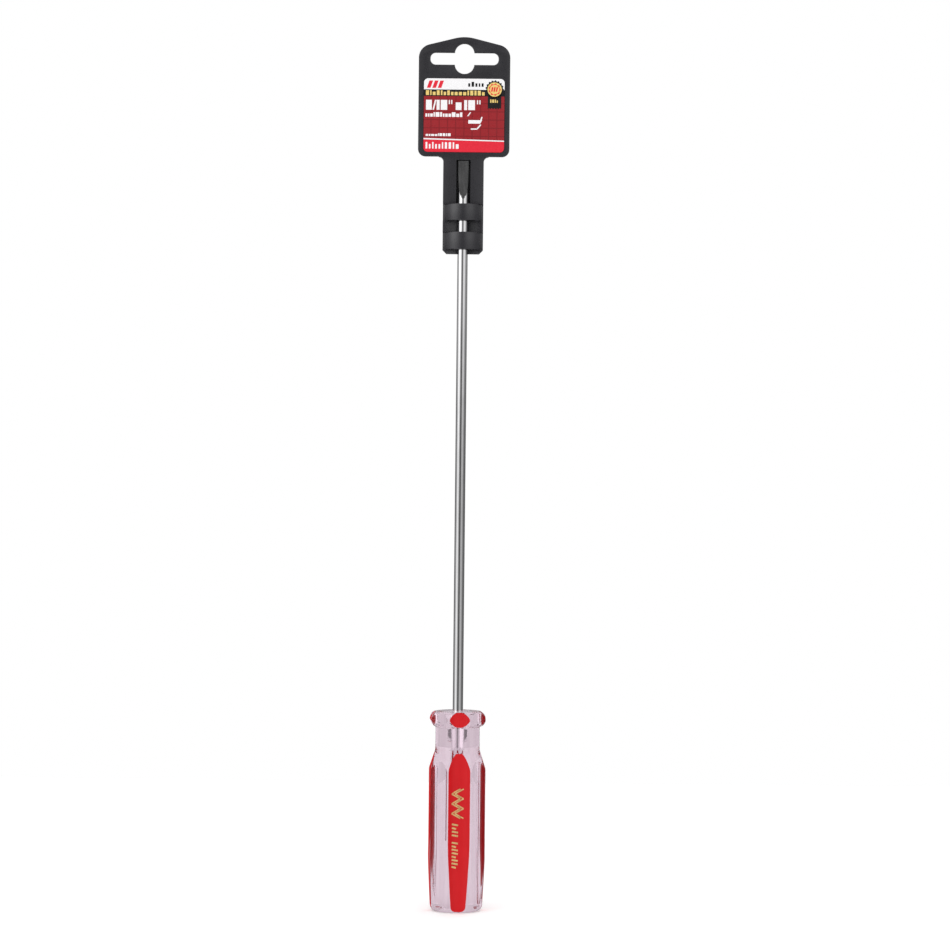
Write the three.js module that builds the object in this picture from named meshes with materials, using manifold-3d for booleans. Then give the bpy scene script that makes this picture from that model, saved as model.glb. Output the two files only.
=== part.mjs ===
// A slotted cabinet screwdriver, 3/16 in by 10 in, with a clear plastic handle that has four flutes,
// three of them painted red, and the black moulded shop hanger that is pushed over its tip.
// Millimetres. The tool stands on its butt: origin at the middle of the butt face, +Z along the
// blade towards the tip, -Y towards the front of the hanger.
import * as THREE from "three";
import { mergeVertices } from "three/addons/utils/BufferGeometryUtils.js";
import Module from "manifold-3d";

const wasm = await Module();
wasm.setup();

// ---------------------------------------------------------------- driving dimensions
const INCH = 25.4;
const DEGREE = Math.PI / 180;
const GAP = 0.12; // clearance left between pieces that touch on the real tool

// Blade: one chromed steel bar with a ground tip and a winged tang.
const SHANK_RADIUS = (3 / 16) * INCH * 0.5;
const BLADE_LENGTH = 10 * INCH; // from the front of the handle to the end of the tip
const TANG_LENGTH = 60; // hidden in the handle
const TIP_THICKNESS = 0.9;
const TIP_PARALLEL = 2.4; // the last stretch of the tip, whose two faces are parallel
const TIP_GROUND = 16.5; // how far up from the end the grinding reaches
const GRIND_RADIUS = 62; // the grinding wheel's radius, which hollows the faces
const WING_REACH = 3.8; // from the axis to a wing's edge
const WING_THICKNESS = 1.3;
const WING_LENGTH = 7;
const WING_RAMP = 0.9;
const WING_DEPTHS = [11, 46]; // each pair's middle, below the front of the handle

// Handle: a turned profile cut by four flutes, with a shallow groove in each land between them.
const HANDLE_LENGTH = 92;
const HANDLE_TURN = 5 * DEGREE; // how far the flutes stand turned from the hanger
const BODY_RADIUS = 13.6;
const NECK_RADIUS = 10.2;
const COLLAR_RADIUS = 13.5;
const COLLAR_ROUND = 3.5; // its rim is a half round
const COLLAR_HEIGHT = 2 * COLLAR_ROUND;
const COLLAR_FILLET = 0.6; // where the collar's underside meets the neck
const SHOULDER_TOP = 74; // where the shoulder's cone would reach the neck
const SHOULDER_BOTTOM = 65.6; // and the body
const SHOULDER_COVE = 8; // hollow round at the top of the cone
const SHOULDER_ROUND = 5; // convex round at its foot
const TAPER_TOP = 26; // below this the body narrows
const TAPER_PULL = 22; // height of the taper curve's control point
const BUTT_RADIUS = 12.3;
const BUTT_ROUND = 3;
const BORE_CHAMFER = 0.5;

// Flutes, and the paint that lies in them.
const FLUTE_RADIUS = 6.4;
const FLUTE_FLOOR = 10.56; // from the tool's axis to the bottom of a painted flute
const FLUTE_BEND = { low: 17, high: 34 }; // between these heights the flutes become shallower
const FLUTE_LIFT = 0.5; // by this much
const FLUTES = { front: -90, right: 0, back: 90, left: 180 };
const PAINTED = ["front", "right", "left"];
const PAINT_THICKNESS = 0.35;
const GROOVE_RADIUS = 14;
const GROOVE_FLOOR = 12; // from the tool's axis to the bottom of a land's groove

// Foil marks stamped on the front flute's paint: left and right of its middle, bottom and top.
const FOIL_GAP = 0.03;
const FOIL_THICKNESS = 0.1;
const FOIL_MARKS = {
  upper: [-3.6, 2.5, 43, 57.5],
  middle: [-3.3, 0, 34.8, 41.4],
  lower: [-3.3, 0, 20.4, 33],
};

// Hanger, heights above the end of the tip.
const TIP_Z = HANDLE_LENGTH + BLADE_LENGTH;
const PLATE_HALF_WIDTH = 21.1;
const PLATE_FRONT = -1.3;
const PLATE_BACK = 1.1;
const PLATE_BOTTOM = 2;
const PLATE_TOP = 57;
const PLATE_SLOPE = 14 * DEGREE; // the two shallow slopes of the top edge
const PLATE_CROWN = 18.6; // radius of the crown between them
const PLATE_CORNER = 6.2;
const PLATE_FOOT_CORNER = 3.4;
const RIM_WIDTH = 1.4; // stiffening rim round the back of the plate
const RIM_BACK = 2.2;
const TAIL_HALF_WIDTH = 9.35;
const TAIL_BOTTOM = -42.9;
const TAIL_BACK = 4.5;
const TAIL_FLOOR = SHANK_RADIUS + 0.27; // bottom of the channel, just behind the shank
const TAIL_HOLLOW_RADIUS = 10.5; // hollow front of the tail, below the channel
const TAIL_CHAMFER = 1.8;
const TAIL_FILLET = 2.2; // where the tail meets the plate
const CHANNEL_HALF_WIDTH = 3.25;
const RAIL_BOTTOM = -20;
const RAIL_WALL = 1.5; // round the pockets that core the rails out from behind
const STRAPS = { upper: [-27.7, RAIL_BOTTOM], lower: [-41, -33] };
const STRAP_RADIUS = 9.1;
const STRAP_CENTRE_Y = 4.1;
const STRAP_BORE = SHANK_RADIUS + 0.2;
const POCKET_TOP = 0.3; // the pocket's end wall stands this far above the tip

// Peg hole: a wide slot crossed by a short upright one, both with round ends.
const PEG_Z = 47;
const PEG_SLOT = { halfWidth: 15.7, halfHeight: 2.8, corner: 2.4 };
const PEG_ROUND = { halfWidth: 4.5, halfHeight: 7, corner: 4.5 };

// Printed label, in a shallow recess in the front of the plate.
const LABEL = { halfWidth: 18.6, bottom: 3.9, top: 37.8, corner: 1.9, thickness: 0.25 };
const LABEL_RECESS = 0.4;
const LABEL_MARGIN = 0.15;

const ROUND_STEPS = 48; // sides of a full circle on the turned pieces
const FLUTE_SIDES = 40; // sides of a flute cutter
const FLUTE_STEPS = 4; // lengths along its bend
const CURVE_STEPS = 2; // steps in an outline's curve (twice as many in an arc)
const STRAP_STEPS = 14; // steps in a quarter of a strap's round

// ---------------------------------------------------------------- solids and meshes
// A closed three.js geometry as a manifold-3d solid.
function solid(geometry) {
  const bare = geometry.clone();
  bare.deleteAttribute("normal");
  bare.deleteAttribute("uv");
  const merged = mergeVertices(bare, 1e-4);
  return new wasm.Manifold(
    new wasm.Mesh({
      numProp: 3,
      vertProperties: merged.attributes.position.array,
      triVerts: new Uint32Array(merged.index.array),
    }),
  );
}

// A manifold-3d solid as a named three.js mesh.
function mesh(name, shape, material) {
  const { vertProperties, triVerts } = shape.getMesh();
  const geometry = new THREE.BufferGeometry();
  geometry.setAttribute("position", new THREE.BufferAttribute(vertProperties, 3));
  geometry.setIndex(new THREE.BufferAttribute(triVerts, 1));
  geometry.computeVertexNormals();
  const made = new THREE.Mesh(geometry, material);
  made.name = name;
  return made;
}

// An outline in (x, z), as thick as from yFront to yBack.
function slab(outline, yFront, yBack, curveSegments = 6) {
  const depth = yBack - yFront;
  const made = new THREE.ExtrudeGeometry(outline, { depth, bevelEnabled: false, curveSegments });
  return solid(made.rotateX(90 * DEGREE).translate(0, yBack, 0));
}

// An outline in (x, y), as tall as from zLow to zHigh.
function prism(outline, zLow, zHigh, curveSegments = 6) {
  const depth = zHigh - zLow;
  const made = new THREE.ExtrudeGeometry(outline, { depth, bevelEnabled: false, curveSegments });
  return solid(made.translate(0, 0, zLow));
}

function box(xLow, xHigh, yLow, yHigh, zLow, zHigh) {
  const made = new THREE.BoxGeometry(xHigh - xLow, yHigh - yLow, zHigh - zLow);
  return solid(made.translate((xLow + xHigh) / 2, (yLow + yHigh) / 2, (zLow + zHigh) / 2));
}

// A profile of (radius, height) points that starts and ends on the axis, turned about Z.
function turned(profile, steps = ROUND_STEPS) {
  const points = profile.getPoints(CURVE_STEPS);
  return solid(new THREE.LatheGeometry(points, steps).rotateX(90 * DEGREE));
}

// A round bar along Z.
function bar(radius, zLow, zHigh, x = 0, y = 0, steps = ROUND_STEPS) {
  const made = new THREE.CylinderGeometry(radius, radius, zHigh - zLow, steps);
  return solid(made.rotateX(90 * DEGREE).translate(x, y, (zLow + zHigh) / 2));
}

// A rectangle with round corners, as an outline.
function roundedBox(xMiddle, zMiddle, halfWidth, halfHeight, corner) {
  const outline = new THREE.Shape();
  const x = halfWidth - corner;
  const z = halfHeight - corner;
  outline.absarc(xMiddle + x, zMiddle + z, corner, 0, 90 * DEGREE);
  outline.absarc(xMiddle - x, zMiddle + z, corner, 90 * DEGREE, 180 * DEGREE);
  outline.absarc(xMiddle - x, zMiddle - z, corner, 180 * DEGREE, 270 * DEGREE);
  outline.absarc(xMiddle + x, zMiddle - z, corner, 270 * DEGREE, 360 * DEGREE);
  outline.closePath();
  return outline;
}

// ---------------------------------------------------------------- blade
// The side view of the ground tip, in (y, z): a bar's width below, hollow to a thin end above.
function tipOutline() {
  const half = TIP_THICKNESS / 2;
  const start = TIP_Z - TIP_GROUND;
  const parallel = TIP_Z - TIP_PARALLEL;
  const wide = SHANK_RADIUS + 1;
  // The wheel touches the parallel stretch and comes out at the shank's surface.
  const outline = new THREE.Shape();
  const centreY = half + GRIND_RADIUS;
  const out = Math.acos((centreY - wide) / GRIND_RADIUS);
  outline.moveTo(-wide, start - 30);
  outline.lineTo(wide, start - 30);
  outline.lineTo(wide, parallel - GRIND_RADIUS * Math.sin(out));
  outline.absarc(centreY, parallel, GRIND_RADIUS, Math.PI + out, Math.PI, true);
  outline.lineTo(half, TIP_Z + 1);
  outline.lineTo(-half, TIP_Z + 1);
  outline.absarc(-centreY, parallel, GRIND_RADIUS, 0, -out, true);
  outline.closePath();
  return outline;
}

// One pair of wings: a flat plate through the bar, with ramped ends.
function wingPair(middle, grow = 0) {
  const half = WING_LENGTH / 2 + grow;
  const reach = WING_REACH + grow;
  const outline = new THREE.Shape();
  outline.moveTo(reach, middle - half + WING_RAMP);
  outline.lineTo(reach, middle + half - WING_RAMP);
  outline.lineTo(0, middle + half + WING_RAMP);
  outline.lineTo(-reach, middle + half - WING_RAMP);
  outline.lineTo(-reach, middle - half + WING_RAMP);
  outline.lineTo(0, middle - half - WING_RAMP);
  outline.closePath();
  const thick = WING_THICKNESS / 2 + grow;
  return slab(outline, -thick, thick);
}

// All the wings; each pair stands square to the one before.
function wings(grow = 0) {
  const pairs = WING_DEPTHS.map((depth, i) =>
    wingPair(HANDLE_LENGTH - depth, grow).rotate([0, 0, 90 * i]),
  );
  return pairs.reduce((all, pair) => all.add(pair));
}

function makeBlade() {
  const tangEnd = HANDLE_LENGTH - TANG_LENGTH;
  const endChamfer = 0.6;
  const profile = new THREE.Path();
  profile.moveTo(0, tangEnd);
  profile.lineTo(SHANK_RADIUS - endChamfer, tangEnd);
  profile.lineTo(SHANK_RADIUS, tangEnd + endChamfer);
  profile.lineTo(SHANK_RADIUS, TIP_Z);
  profile.lineTo(0, TIP_Z);
  const round = turned(profile, 40);
  const reach = SHANK_RADIUS + 1;
  const whole = box(-reach, reach, -reach, reach, tangEnd - 1, TIP_Z - TIP_GROUND - 20);
  // The tip's outline is drawn in (y, z), so it is laid in the XZ plane and then turned.
  const ground = slab(tipOutline(), -reach, reach, 8).rotate([0, 0, 90]);
  return round.intersect(whole.add(ground)).add(wings());
}

// ---------------------------------------------------------------- handle
function handleProfile() {
  const slope = Math.atan2(BODY_RADIUS - NECK_RADIUS, SHOULDER_TOP - SHOULDER_BOTTOM);
  const coveReach = SHOULDER_COVE * Math.tan(slope / 2);
  const roundReach = SHOULDER_ROUND * Math.tan(slope / 2);
  const collarBottom = HANDLE_LENGTH - COLLAR_HEIGHT;
  const collarSide = COLLAR_RADIUS - COLLAR_ROUND;
  const profile = new THREE.Path();
  profile.moveTo(0, 0);
  profile.lineTo(BUTT_RADIUS - BUTT_ROUND, 0);
  profile.absarc(BUTT_RADIUS - BUTT_ROUND, BUTT_ROUND, BUTT_ROUND, -90 * DEGREE, 0);
  profile.quadraticCurveTo(BODY_RADIUS, TAPER_PULL, BODY_RADIUS, TAPER_TOP);
  profile.lineTo(BODY_RADIUS, SHOULDER_BOTTOM - roundReach);
  profile.absarc(BODY_RADIUS - SHOULDER_ROUND, SHOULDER_BOTTOM - roundReach, SHOULDER_ROUND, 0, slope);
  profile.absarc(
    NECK_RADIUS + SHOULDER_COVE,
    SHOULDER_TOP + coveReach,
    SHOULDER_COVE,
    Math.PI + slope,
    Math.PI,
    true,
  );
  profile.absarc(
    NECK_RADIUS + COLLAR_FILLET,
    collarBottom - COLLAR_FILLET,
    COLLAR_FILLET,
    Math.PI,
    90 * DEGREE,
    true,
  );
  profile.absarc(collarSide, collarBottom + COLLAR_ROUND, COLLAR_ROUND, -90 * DEGREE, 0);
  profile.absarc(collarSide, collarBottom + COLLAR_ROUND, COLLAR_ROUND, 0, 90 * DEGREE);
  profile.lineTo(0, HANDLE_LENGTH);
  return profile;
}

// Turns a solid made for the +X direction to an angle in degrees on the handle.
function onHandle(shape, angle) {
  return shape.rotate([0, 0, angle + HANDLE_TURN / DEGREE]);
}

// How far the flutes' cutters are from the tool's axis at a height.
function fluteDistance(z) {
  const straight = THREE.MathUtils.smoothstep(z, FLUTE_BEND.low, FLUTE_BEND.high);
  return FLUTE_FLOOR + FLUTE_RADIUS + FLUTE_LIFT * (1 - straight);
}

// A flute's cutter: a round bar beside the handle, which swings out a little towards the butt.
function fluteCutter(angle, deeper) {
  const radius = FLUTE_RADIUS + deeper;
  const heights = [-1];
  for (let i = 0; i <= FLUTE_STEPS; i += 1) {
    heights.push(THREE.MathUtils.lerp(FLUTE_BEND.low, FLUTE_BEND.high, i / FLUTE_STEPS));
  }
  heights.push(HANDLE_LENGTH + 1);
  const lengths = heights.length - 1;
  const made = new THREE.CylinderGeometry(radius, radius, lengths, FLUTE_SIDES, lengths);
  made.rotateX(90 * DEGREE).translate(0, 0, lengths / 2);
  const points = made.attributes.position;
  for (let i = 0; i < points.count; i += 1) {
    const z = heights[Math.round(points.getZ(i))];
    points.setX(i, points.getX(i) + fluteDistance(z));
    points.setZ(i, z);
  }
  return onHandle(solid(made), angle);
}

// The cutter of the shallow groove in the land that follows a flute.
function grooveCutter(angle) {
  const top = HANDLE_LENGTH - COLLAR_HEIGHT;
  const out = GROOVE_FLOOR + GROOVE_RADIUS;
  return onHandle(bar(GROOVE_RADIUS, -1, top, out, 0, FLUTE_SIDES), angle + 45);
}

// The bore that the tang is pressed into, with room for the wings.
function tangPocket() {
  const profile = new THREE.Path();
  const radius = SHANK_RADIUS + GAP;
  profile.moveTo(0, HANDLE_LENGTH - TANG_LENGTH - GAP);
  profile.lineTo(radius, HANDLE_LENGTH - TANG_LENGTH - GAP);
  profile.lineTo(radius, HANDLE_LENGTH - BORE_CHAMFER);
  profile.lineTo(radius + BORE_CHAMFER + 1, HANDLE_LENGTH + 1);
  profile.lineTo(0, HANDLE_LENGTH + 1);
  return turned(profile, 40).add(wings(GAP));
}

function makeHandle(blank) {
  const angles = Object.values(FLUTES);
  const flutes = angles.map((angle) => fluteCutter(angle, PAINT_THICKNESS + GAP));
  const grooves = angles.map((angle) => grooveCutter(angle));
  return [...flutes, ...grooves]
    .reduce((body, cut) => body.subtract(cut), blank)
    .subtract(tangPocket());
}

// The paint in one flute: a layer along the body and an oval across the collar.
function makePaint(blank, angle) {
  const layer = fluteCutter(angle, PAINT_THICKNESS).subtract(fluteCutter(angle, 0));
  const wide = BODY_RADIUS + 1;
  const collarBottom = HANDLE_LENGTH - COLLAR_HEIGHT;
  const body = box(-wide, wide, -wide, wide, -1, SHOULDER_TOP);
  const collar = box(-wide, wide, -wide, wide, collarBottom, HANDLE_LENGTH + 1);
  const inFlute = blank.intersect(layer);
  return { stripe: inFlute.intersect(body), collar: inFlute.intersect(collar) };
}

// One foil mark: a patch of a thin layer that lies on the front flute's paint.
function makeFoil([left, right, low, high]) {
  const angle = FLUTES.front;
  const layer = fluteCutter(angle, -FOIL_GAP).subtract(
    fluteCutter(angle, -FOIL_GAP - FOIL_THICKNESS),
  );
  const patch = box(FLUTE_FLOOR / 2, BODY_RADIUS, left, right, low, high);
  return layer.intersect(onHandle(patch, angle));
}

// ---------------------------------------------------------------- hanger
// The plate's outline, with its crowned top, grown or shrunk by inset.
function plateOutline(inset = 0) {
  const half = PLATE_HALF_WIDTH - inset;
  const top = TIP_Z + PLATE_TOP - inset;
  const foot = TIP_Z + PLATE_BOTTOM + inset;
  const corner = Math.max(PLATE_CORNER - inset, 0.5);
  const footCorner = Math.max(PLATE_FOOT_CORNER - inset, 0.5);
  const crown = PLATE_CROWN;
  const side = half - corner;
  const crownEndX = crown * Math.sin(PLATE_SLOPE);
  const crownEndZ = top - crown + crown * Math.cos(PLATE_SLOPE);
  const cornerEndX = side + corner * Math.sin(PLATE_SLOPE);
  const cornerEndZ = crownEndZ - (cornerEndX - crownEndX) * Math.tan(PLATE_SLOPE);
  const cornerZ = cornerEndZ - corner * Math.cos(PLATE_SLOPE);
  const outline = new THREE.Shape();
  outline.absarc(half - footCorner, foot + footCorner, footCorner, -90 * DEGREE, 0);
  outline.absarc(side, cornerZ, corner, 0, 90 * DEGREE - PLATE_SLOPE);
  outline.absarc(0, top - crown, crown, 90 * DEGREE - PLATE_SLOPE, 90 * DEGREE + PLATE_SLOPE);
  outline.absarc(-side, cornerZ, corner, 90 * DEGREE + PLATE_SLOPE, 180 * DEGREE);
  outline.absarc(footCorner - half, foot + footCorner, footCorner, 180 * DEGREE, 270 * DEGREE);
  outline.closePath();
  return outline;
}

// The tail's outline from the front: it spreads into the plate above and is chamfered below.
function tailOutline(bottom, chamfer) {
  const half = TAIL_HALF_WIDTH;
  const top = TIP_Z + PLATE_BOTTOM;
  const outline = new THREE.Shape();
  outline.moveTo(chamfer - half, TIP_Z + bottom);
  outline.lineTo(half - chamfer, TIP_Z + bottom);
  outline.lineTo(half, TIP_Z + bottom + chamfer);
  outline.absarc(half + TAIL_FILLET, top - TAIL_FILLET, TAIL_FILLET, 180 * DEGREE, 90 * DEGREE, true);
  outline.lineTo(half + TAIL_FILLET, top + 1);
  outline.lineTo(-half - TAIL_FILLET, top + 1);
  outline.absarc(-half - TAIL_FILLET, top - TAIL_FILLET, TAIL_FILLET, 90 * DEGREE, 0, true);
  outline.lineTo(-half, TIP_Z + bottom + chamfer);
  outline.closePath();
  return outline;
}

// One strap: a half-round loop over the front of the shank.
function strap([low, high]) {
  const outline = new THREE.Shape();
  outline.absarc(0, STRAP_CENTRE_Y, STRAP_RADIUS, 180 * DEGREE, 360 * DEGREE);
  outline.closePath();
  return prism(outline, TIP_Z + low, TIP_Z + high, STRAP_STEPS);
}

// What is cut from the tail's corners beside a strap, where the loop runs on to the sides.
function strapShoulders([low, high]) {
  const wide = TAIL_HALF_WIDTH + 1;
  const front = box(-wide, wide, PLATE_FRONT - 1, STRAP_CENTRE_Y, TIP_Z + low, TIP_Z + high);
  const loop = bar(STRAP_RADIUS, TIP_Z + low - 1, TIP_Z + high + 1, 0, STRAP_CENTRE_Y, 4 * STRAP_STEPS);
  return front.subtract(loop);
}

function pegHole() {
  const low = PLATE_FRONT - 1;
  const high = RIM_BACK + 1;
  const wide = roundedBox(0, TIP_Z + PEG_Z, PEG_SLOT.halfWidth, PEG_SLOT.halfHeight, PEG_SLOT.corner);
  const tall = roundedBox(0, TIP_Z + PEG_Z, PEG_ROUND.halfWidth, PEG_ROUND.halfHeight, PEG_ROUND.corner);
  return slab(wide, low, high).add(slab(tall, low, high));
}

function labelOutline(grow) {
  const middle = TIP_Z + (LABEL.bottom + LABEL.top) / 2;
  const halfHeight = (LABEL.top - LABEL.bottom) / 2;
  return roundedBox(0, middle, LABEL.halfWidth + grow, halfHeight + grow, LABEL.corner + grow);
}

function makePlate() {
  const plate = slab(plateOutline(), PLATE_FRONT, PLATE_BACK);
  const rim = slab(plateOutline(), PLATE_BACK - 0.5, RIM_BACK).subtract(
    slab(plateOutline(RIM_WIDTH), PLATE_BACK - 1, RIM_BACK + 1),
  );
  const recess = slab(labelOutline(LABEL_MARGIN), PLATE_FRONT - 1, PLATE_FRONT + LABEL_RECESS);
  return plate.add(rim).subtract(recess).subtract(pegHole());
}

// The trough behind the tip: thick rails each side of a channel, cored out from behind.
function makeRails() {
  const rails = slab(tailOutline(RAIL_BOTTOM, 0.8), PLATE_FRONT, TAIL_BACK);
  const channel = box(
    -CHANNEL_HALF_WIDTH,
    CHANNEL_HALF_WIDTH,
    PLATE_FRONT - 1,
    TAIL_FLOOR,
    TIP_Z + RAIL_BOTTOM - 1,
    TIP_Z + POCKET_TOP,
  );
  const inner = CHANNEL_HALF_WIDTH + RAIL_WALL;
  const outer = TAIL_HALF_WIDTH - RAIL_WALL;
  const cores = [-1, 1].map((side) =>
    box(
      Math.min(side * inner, side * outer),
      Math.max(side * inner, side * outer),
      PLATE_FRONT + RAIL_WALL,
      TAIL_BACK + 1,
      TIP_Z + RAIL_BOTTOM + RAIL_WALL,
      TIP_Z - RAIL_WALL,
    ),
  );
  return cores.reduce((left, core) => left.subtract(core), rails.subtract(channel));
}

// The lower tail: a thick wall with a hollow front, which stands behind the shank.
function makeTail() {
  const low = TIP_Z + TAIL_BOTTOM;
  const high = TIP_Z + RAIL_BOTTOM;
  const wide = 2 * TAIL_HALF_WIDTH;
  const wall = slab(tailOutline(TAIL_BOTTOM, TAIL_CHAMFER), PLATE_FRONT, TAIL_BACK);
  const hollow = bar(TAIL_HOLLOW_RADIUS, low - 1, high, 0, TAIL_FLOOR - TAIL_HOLLOW_RADIUS);
  const above = box(-wide, wide, PLATE_FRONT - 1, TAIL_BACK + 1, high + 0.5, TIP_Z + PLATE_TOP);
  return wall.subtract(above).subtract(hollow);
}

// The bore of the straps. Behind each strap it is open to the back, as the mould's core leaves it.
function strapBore() {
  const bore = bar(STRAP_BORE, TIP_Z + TAIL_BOTTOM - 1, TIP_Z + RAIL_BOTTOM + 0.6);
  return Object.values(STRAPS)
    .map(([low, high]) =>
      box(-STRAP_BORE, STRAP_BORE, 0, TAIL_BACK + 1, TIP_Z + low + 0.6, TIP_Z + high - 0.6),
    )
    .reduce((all, opening) => all.add(opening), bore);
}

function makeHanger() {
  const body = makePlate().add(makeRails()).add(makeTail());
  return Object.values(STRAPS)
    .reduce((all, span) => all.subtract(strapShoulders(span)).add(strap(span)), body)
    .subtract(strapBore());
}

function makeLabel() {
  const back = PLATE_FRONT + LABEL_RECESS - 0.1;
  return slab(labelOutline(0), back - LABEL.thickness, back);
}

// ---------------------------------------------------------------- materials
const clear = new THREE.MeshStandardMaterial({
  color: 0xe6dde4,
  roughness: 0.08,
  metalness: 0,
  transparent: true,
  opacity: 0.4,
});
const red = new THREE.MeshStandardMaterial({ color: 0xd0202a, roughness: 0.3, metalness: 0 });
const chrome = new THREE.MeshStandardMaterial({ color: 0xd8d8dc, roughness: 0.12, metalness: 1 });
const gold = new THREE.MeshStandardMaterial({ color: 0xd9a850, roughness: 0.3, metalness: 1 });
const black = new THREE.MeshStandardMaterial({ color: 0x3a393e, roughness: 0.5, metalness: 0 });
const print = new THREE.MeshStandardMaterial({ color: 0xa32029, roughness: 0.35, metalness: 0 });

// ---------------------------------------------------------------- the assembly
const tool = new THREE.Group();
const blank = turned(handleProfile());
tool.add(mesh("handle_body", makeHandle(blank), clear));
tool.add(mesh("blade", makeBlade(), chrome));
for (const side of PAINTED) {
  const paint = makePaint(blank, FLUTES[side]);
  tool.add(mesh(`flute_paint_${side}`, paint.stripe, red));
  tool.add(mesh(`collar_paint_${side}`, paint.collar, red));
}
for (const [place, extent] of Object.entries(FOIL_MARKS)) {
  tool.add(mesh(`foil_mark_${place}`, makeFoil(extent), gold));
}

const hanger = new THREE.Group();
hanger.add(mesh("hanger_body", makeHanger(), black));
hanger.add(mesh("hanger_label", makeLabel(), print));

const part = new THREE.Group();
part.add(tool, hanger);

export default part;
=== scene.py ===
"""A slotted screwdriver in its black shop hanger. The handle is clear plastic with four flutes, and
three of them are painted red. Sizes in this file are in millimetres, in the CAD's frame.
The tool stands on its butt: +Z runs along the blade to the tip, and -Y is the hanger's front."""
from math import acos, asin, atan2, cos, hypot, pi, radians, sin, sqrt, tan
from random import Random

import bmesh
import bpy
from mathutils import Matrix, Vector


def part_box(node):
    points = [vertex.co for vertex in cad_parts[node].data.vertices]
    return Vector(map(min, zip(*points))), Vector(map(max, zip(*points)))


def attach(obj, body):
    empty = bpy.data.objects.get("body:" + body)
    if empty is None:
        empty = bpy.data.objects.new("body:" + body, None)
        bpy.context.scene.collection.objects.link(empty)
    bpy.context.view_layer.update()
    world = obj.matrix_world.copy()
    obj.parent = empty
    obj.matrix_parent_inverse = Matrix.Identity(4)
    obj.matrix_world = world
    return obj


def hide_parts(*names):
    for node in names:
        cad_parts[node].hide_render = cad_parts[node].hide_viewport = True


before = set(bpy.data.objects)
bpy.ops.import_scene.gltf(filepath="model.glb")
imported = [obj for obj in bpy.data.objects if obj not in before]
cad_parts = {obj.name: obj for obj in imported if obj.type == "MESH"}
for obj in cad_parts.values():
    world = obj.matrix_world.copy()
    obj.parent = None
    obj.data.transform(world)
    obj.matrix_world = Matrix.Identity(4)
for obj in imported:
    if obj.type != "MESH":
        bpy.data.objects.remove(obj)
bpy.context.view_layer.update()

MM = 0.001


def low_mm(node):
    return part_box(node)[0] / MM


def high_mm(node):
    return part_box(node)[1] / MM


# ---------------------------------------------------------------- sizes from the frame
HANDLE_TOP = high_mm("handle_body").z
TIP_Z = high_mm("blade").z
TANG_END = low_mm("blade").z
WING_REACH = high_mm("blade").x
HANGER_LOW = low_mm("hanger_body")
HANGER_HIGH = high_mm("hanger_body")
LABEL_LOW = low_mm("hanger_label")
LABEL_HIGH = high_mm("hanger_label")
SHANK_RADIUS = 25.4 * 3 / 32

# ---------------------------------------------------------------- sizes shared with the CAD
HANDLE_TURN = radians(5)
BODY_RADIUS = 13.6
NECK_RADIUS = 10.2
COLLAR_RADIUS = 13.5
COLLAR_ROUND = 3.5
COLLAR_HEIGHT = 2 * COLLAR_ROUND
COLLAR_FILLET = 0.6
SHOULDER_TOP = 74
SHOULDER_BOTTOM = 65.6
SHOULDER_COVE = 8
SHOULDER_ROUND = 5
TAPER_TOP = 26
TAPER_PULL = 22
BUTT_RADIUS = 12.3
BUTT_ROUND = 3
FLUTE_RADIUS = 6.4
FLUTE_FLOOR = 10.56
FLUTE_BEND = (17, 34)
FLUTE_LIFT = 0.5
FLUTES = {"front": -90, "right": 0, "back": 90, "left": 180}
PAINTED = ["front", "right", "left"]
GROOVE_RADIUS = 14
GROOVE_FLOOR = 12
PAINT_DEPTH = 0.16  # how far the clear body's own flute lies under the paint's, at its edges
PAINT_BITE = 0.05  # how far the paint's back reaches into the clear body
PAINT_SWELL = 0.25  # how much deeper the paint is in its middle, as a share of the flute's depth

TIP_THICKNESS = 0.9
TIP_PARALLEL = 2.4
GRIND_RADIUS = 62
GROUND_LENGTH = 14  # of the grinding lines below the tip's parallel end
WING_THICKNESS = 1.3
WING_LENGTH = 7
WING_RAMP = 0.9
WING_DEPTHS = (11, 46)

PLATE_HALF_WIDTH = HANGER_HIGH.x
PLATE_FRONT = -1.3
PLATE_BACK = 1.1
PLATE_BOTTOM = 2
PLATE_TOP = HANGER_HIGH.z - TIP_Z
PLATE_SLOPE = radians(14)
PLATE_CROWN = 18.6
PLATE_CORNER = 6.2
PLATE_FOOT_CORNER = 3.4
RIM_WIDTH = 1.4
RIM_BACK = 2.2
TAIL_HALF_WIDTH = 9.35
TAIL_BOTTOM = HANGER_LOW.z - TIP_Z
TAIL_BACK = HANGER_HIGH.y
TAIL_FLOOR = SHANK_RADIUS + 0.27
TAIL_HOLLOW_RADIUS = 10.5
TAIL_CHAMFER = 1.8
TAIL_FILLET = 2.2
CHANNEL_HALF_WIDTH = 3.25
RAIL_BOTTOM = -20
RAIL_WALL = 1.5
STRAPS = ((-27.7, RAIL_BOTTOM), (-41, -33))
STRAP_RADIUS = 9.1
STRAP_CENTRE_Y = 4.1
STRAP_STEPS = 56
STRAP_BORE = SHANK_RADIUS + 0.2
STRAP_SEAT = 0.03  # how far below the straps' surface the tail beside them is cut
POCKET_TOP = 0.3
PEG_Z = 47
PEG_SLOT = (15.7, 2.8, 2.4)  # half width, half height and corner radius
PEG_ROUND = (4.5, 7)  # radius and half height
LABEL_CORNER = 1.9
LABEL_RECESS = 0.4
LABEL_MARGIN = 0.15
FOIL_LIFT = 0.03
FOIL_MARKS = {  # left, right, low and high on the front flute
    "upper": (-3.6, 2.5, 43, 57.5),
    "middle": (-3.3, 0, 34.8, 41.4),
    "lower": (-3.3, 0, 20.4, 33),
}


# ---------------------------------------------------------------- lines and arcs
def between(start, end, share):
    """The point at a share of the way from start to end."""
    return (start[0] + (end[0] - start[0]) * share, start[1] + (end[1] - start[1]) * share)


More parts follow.
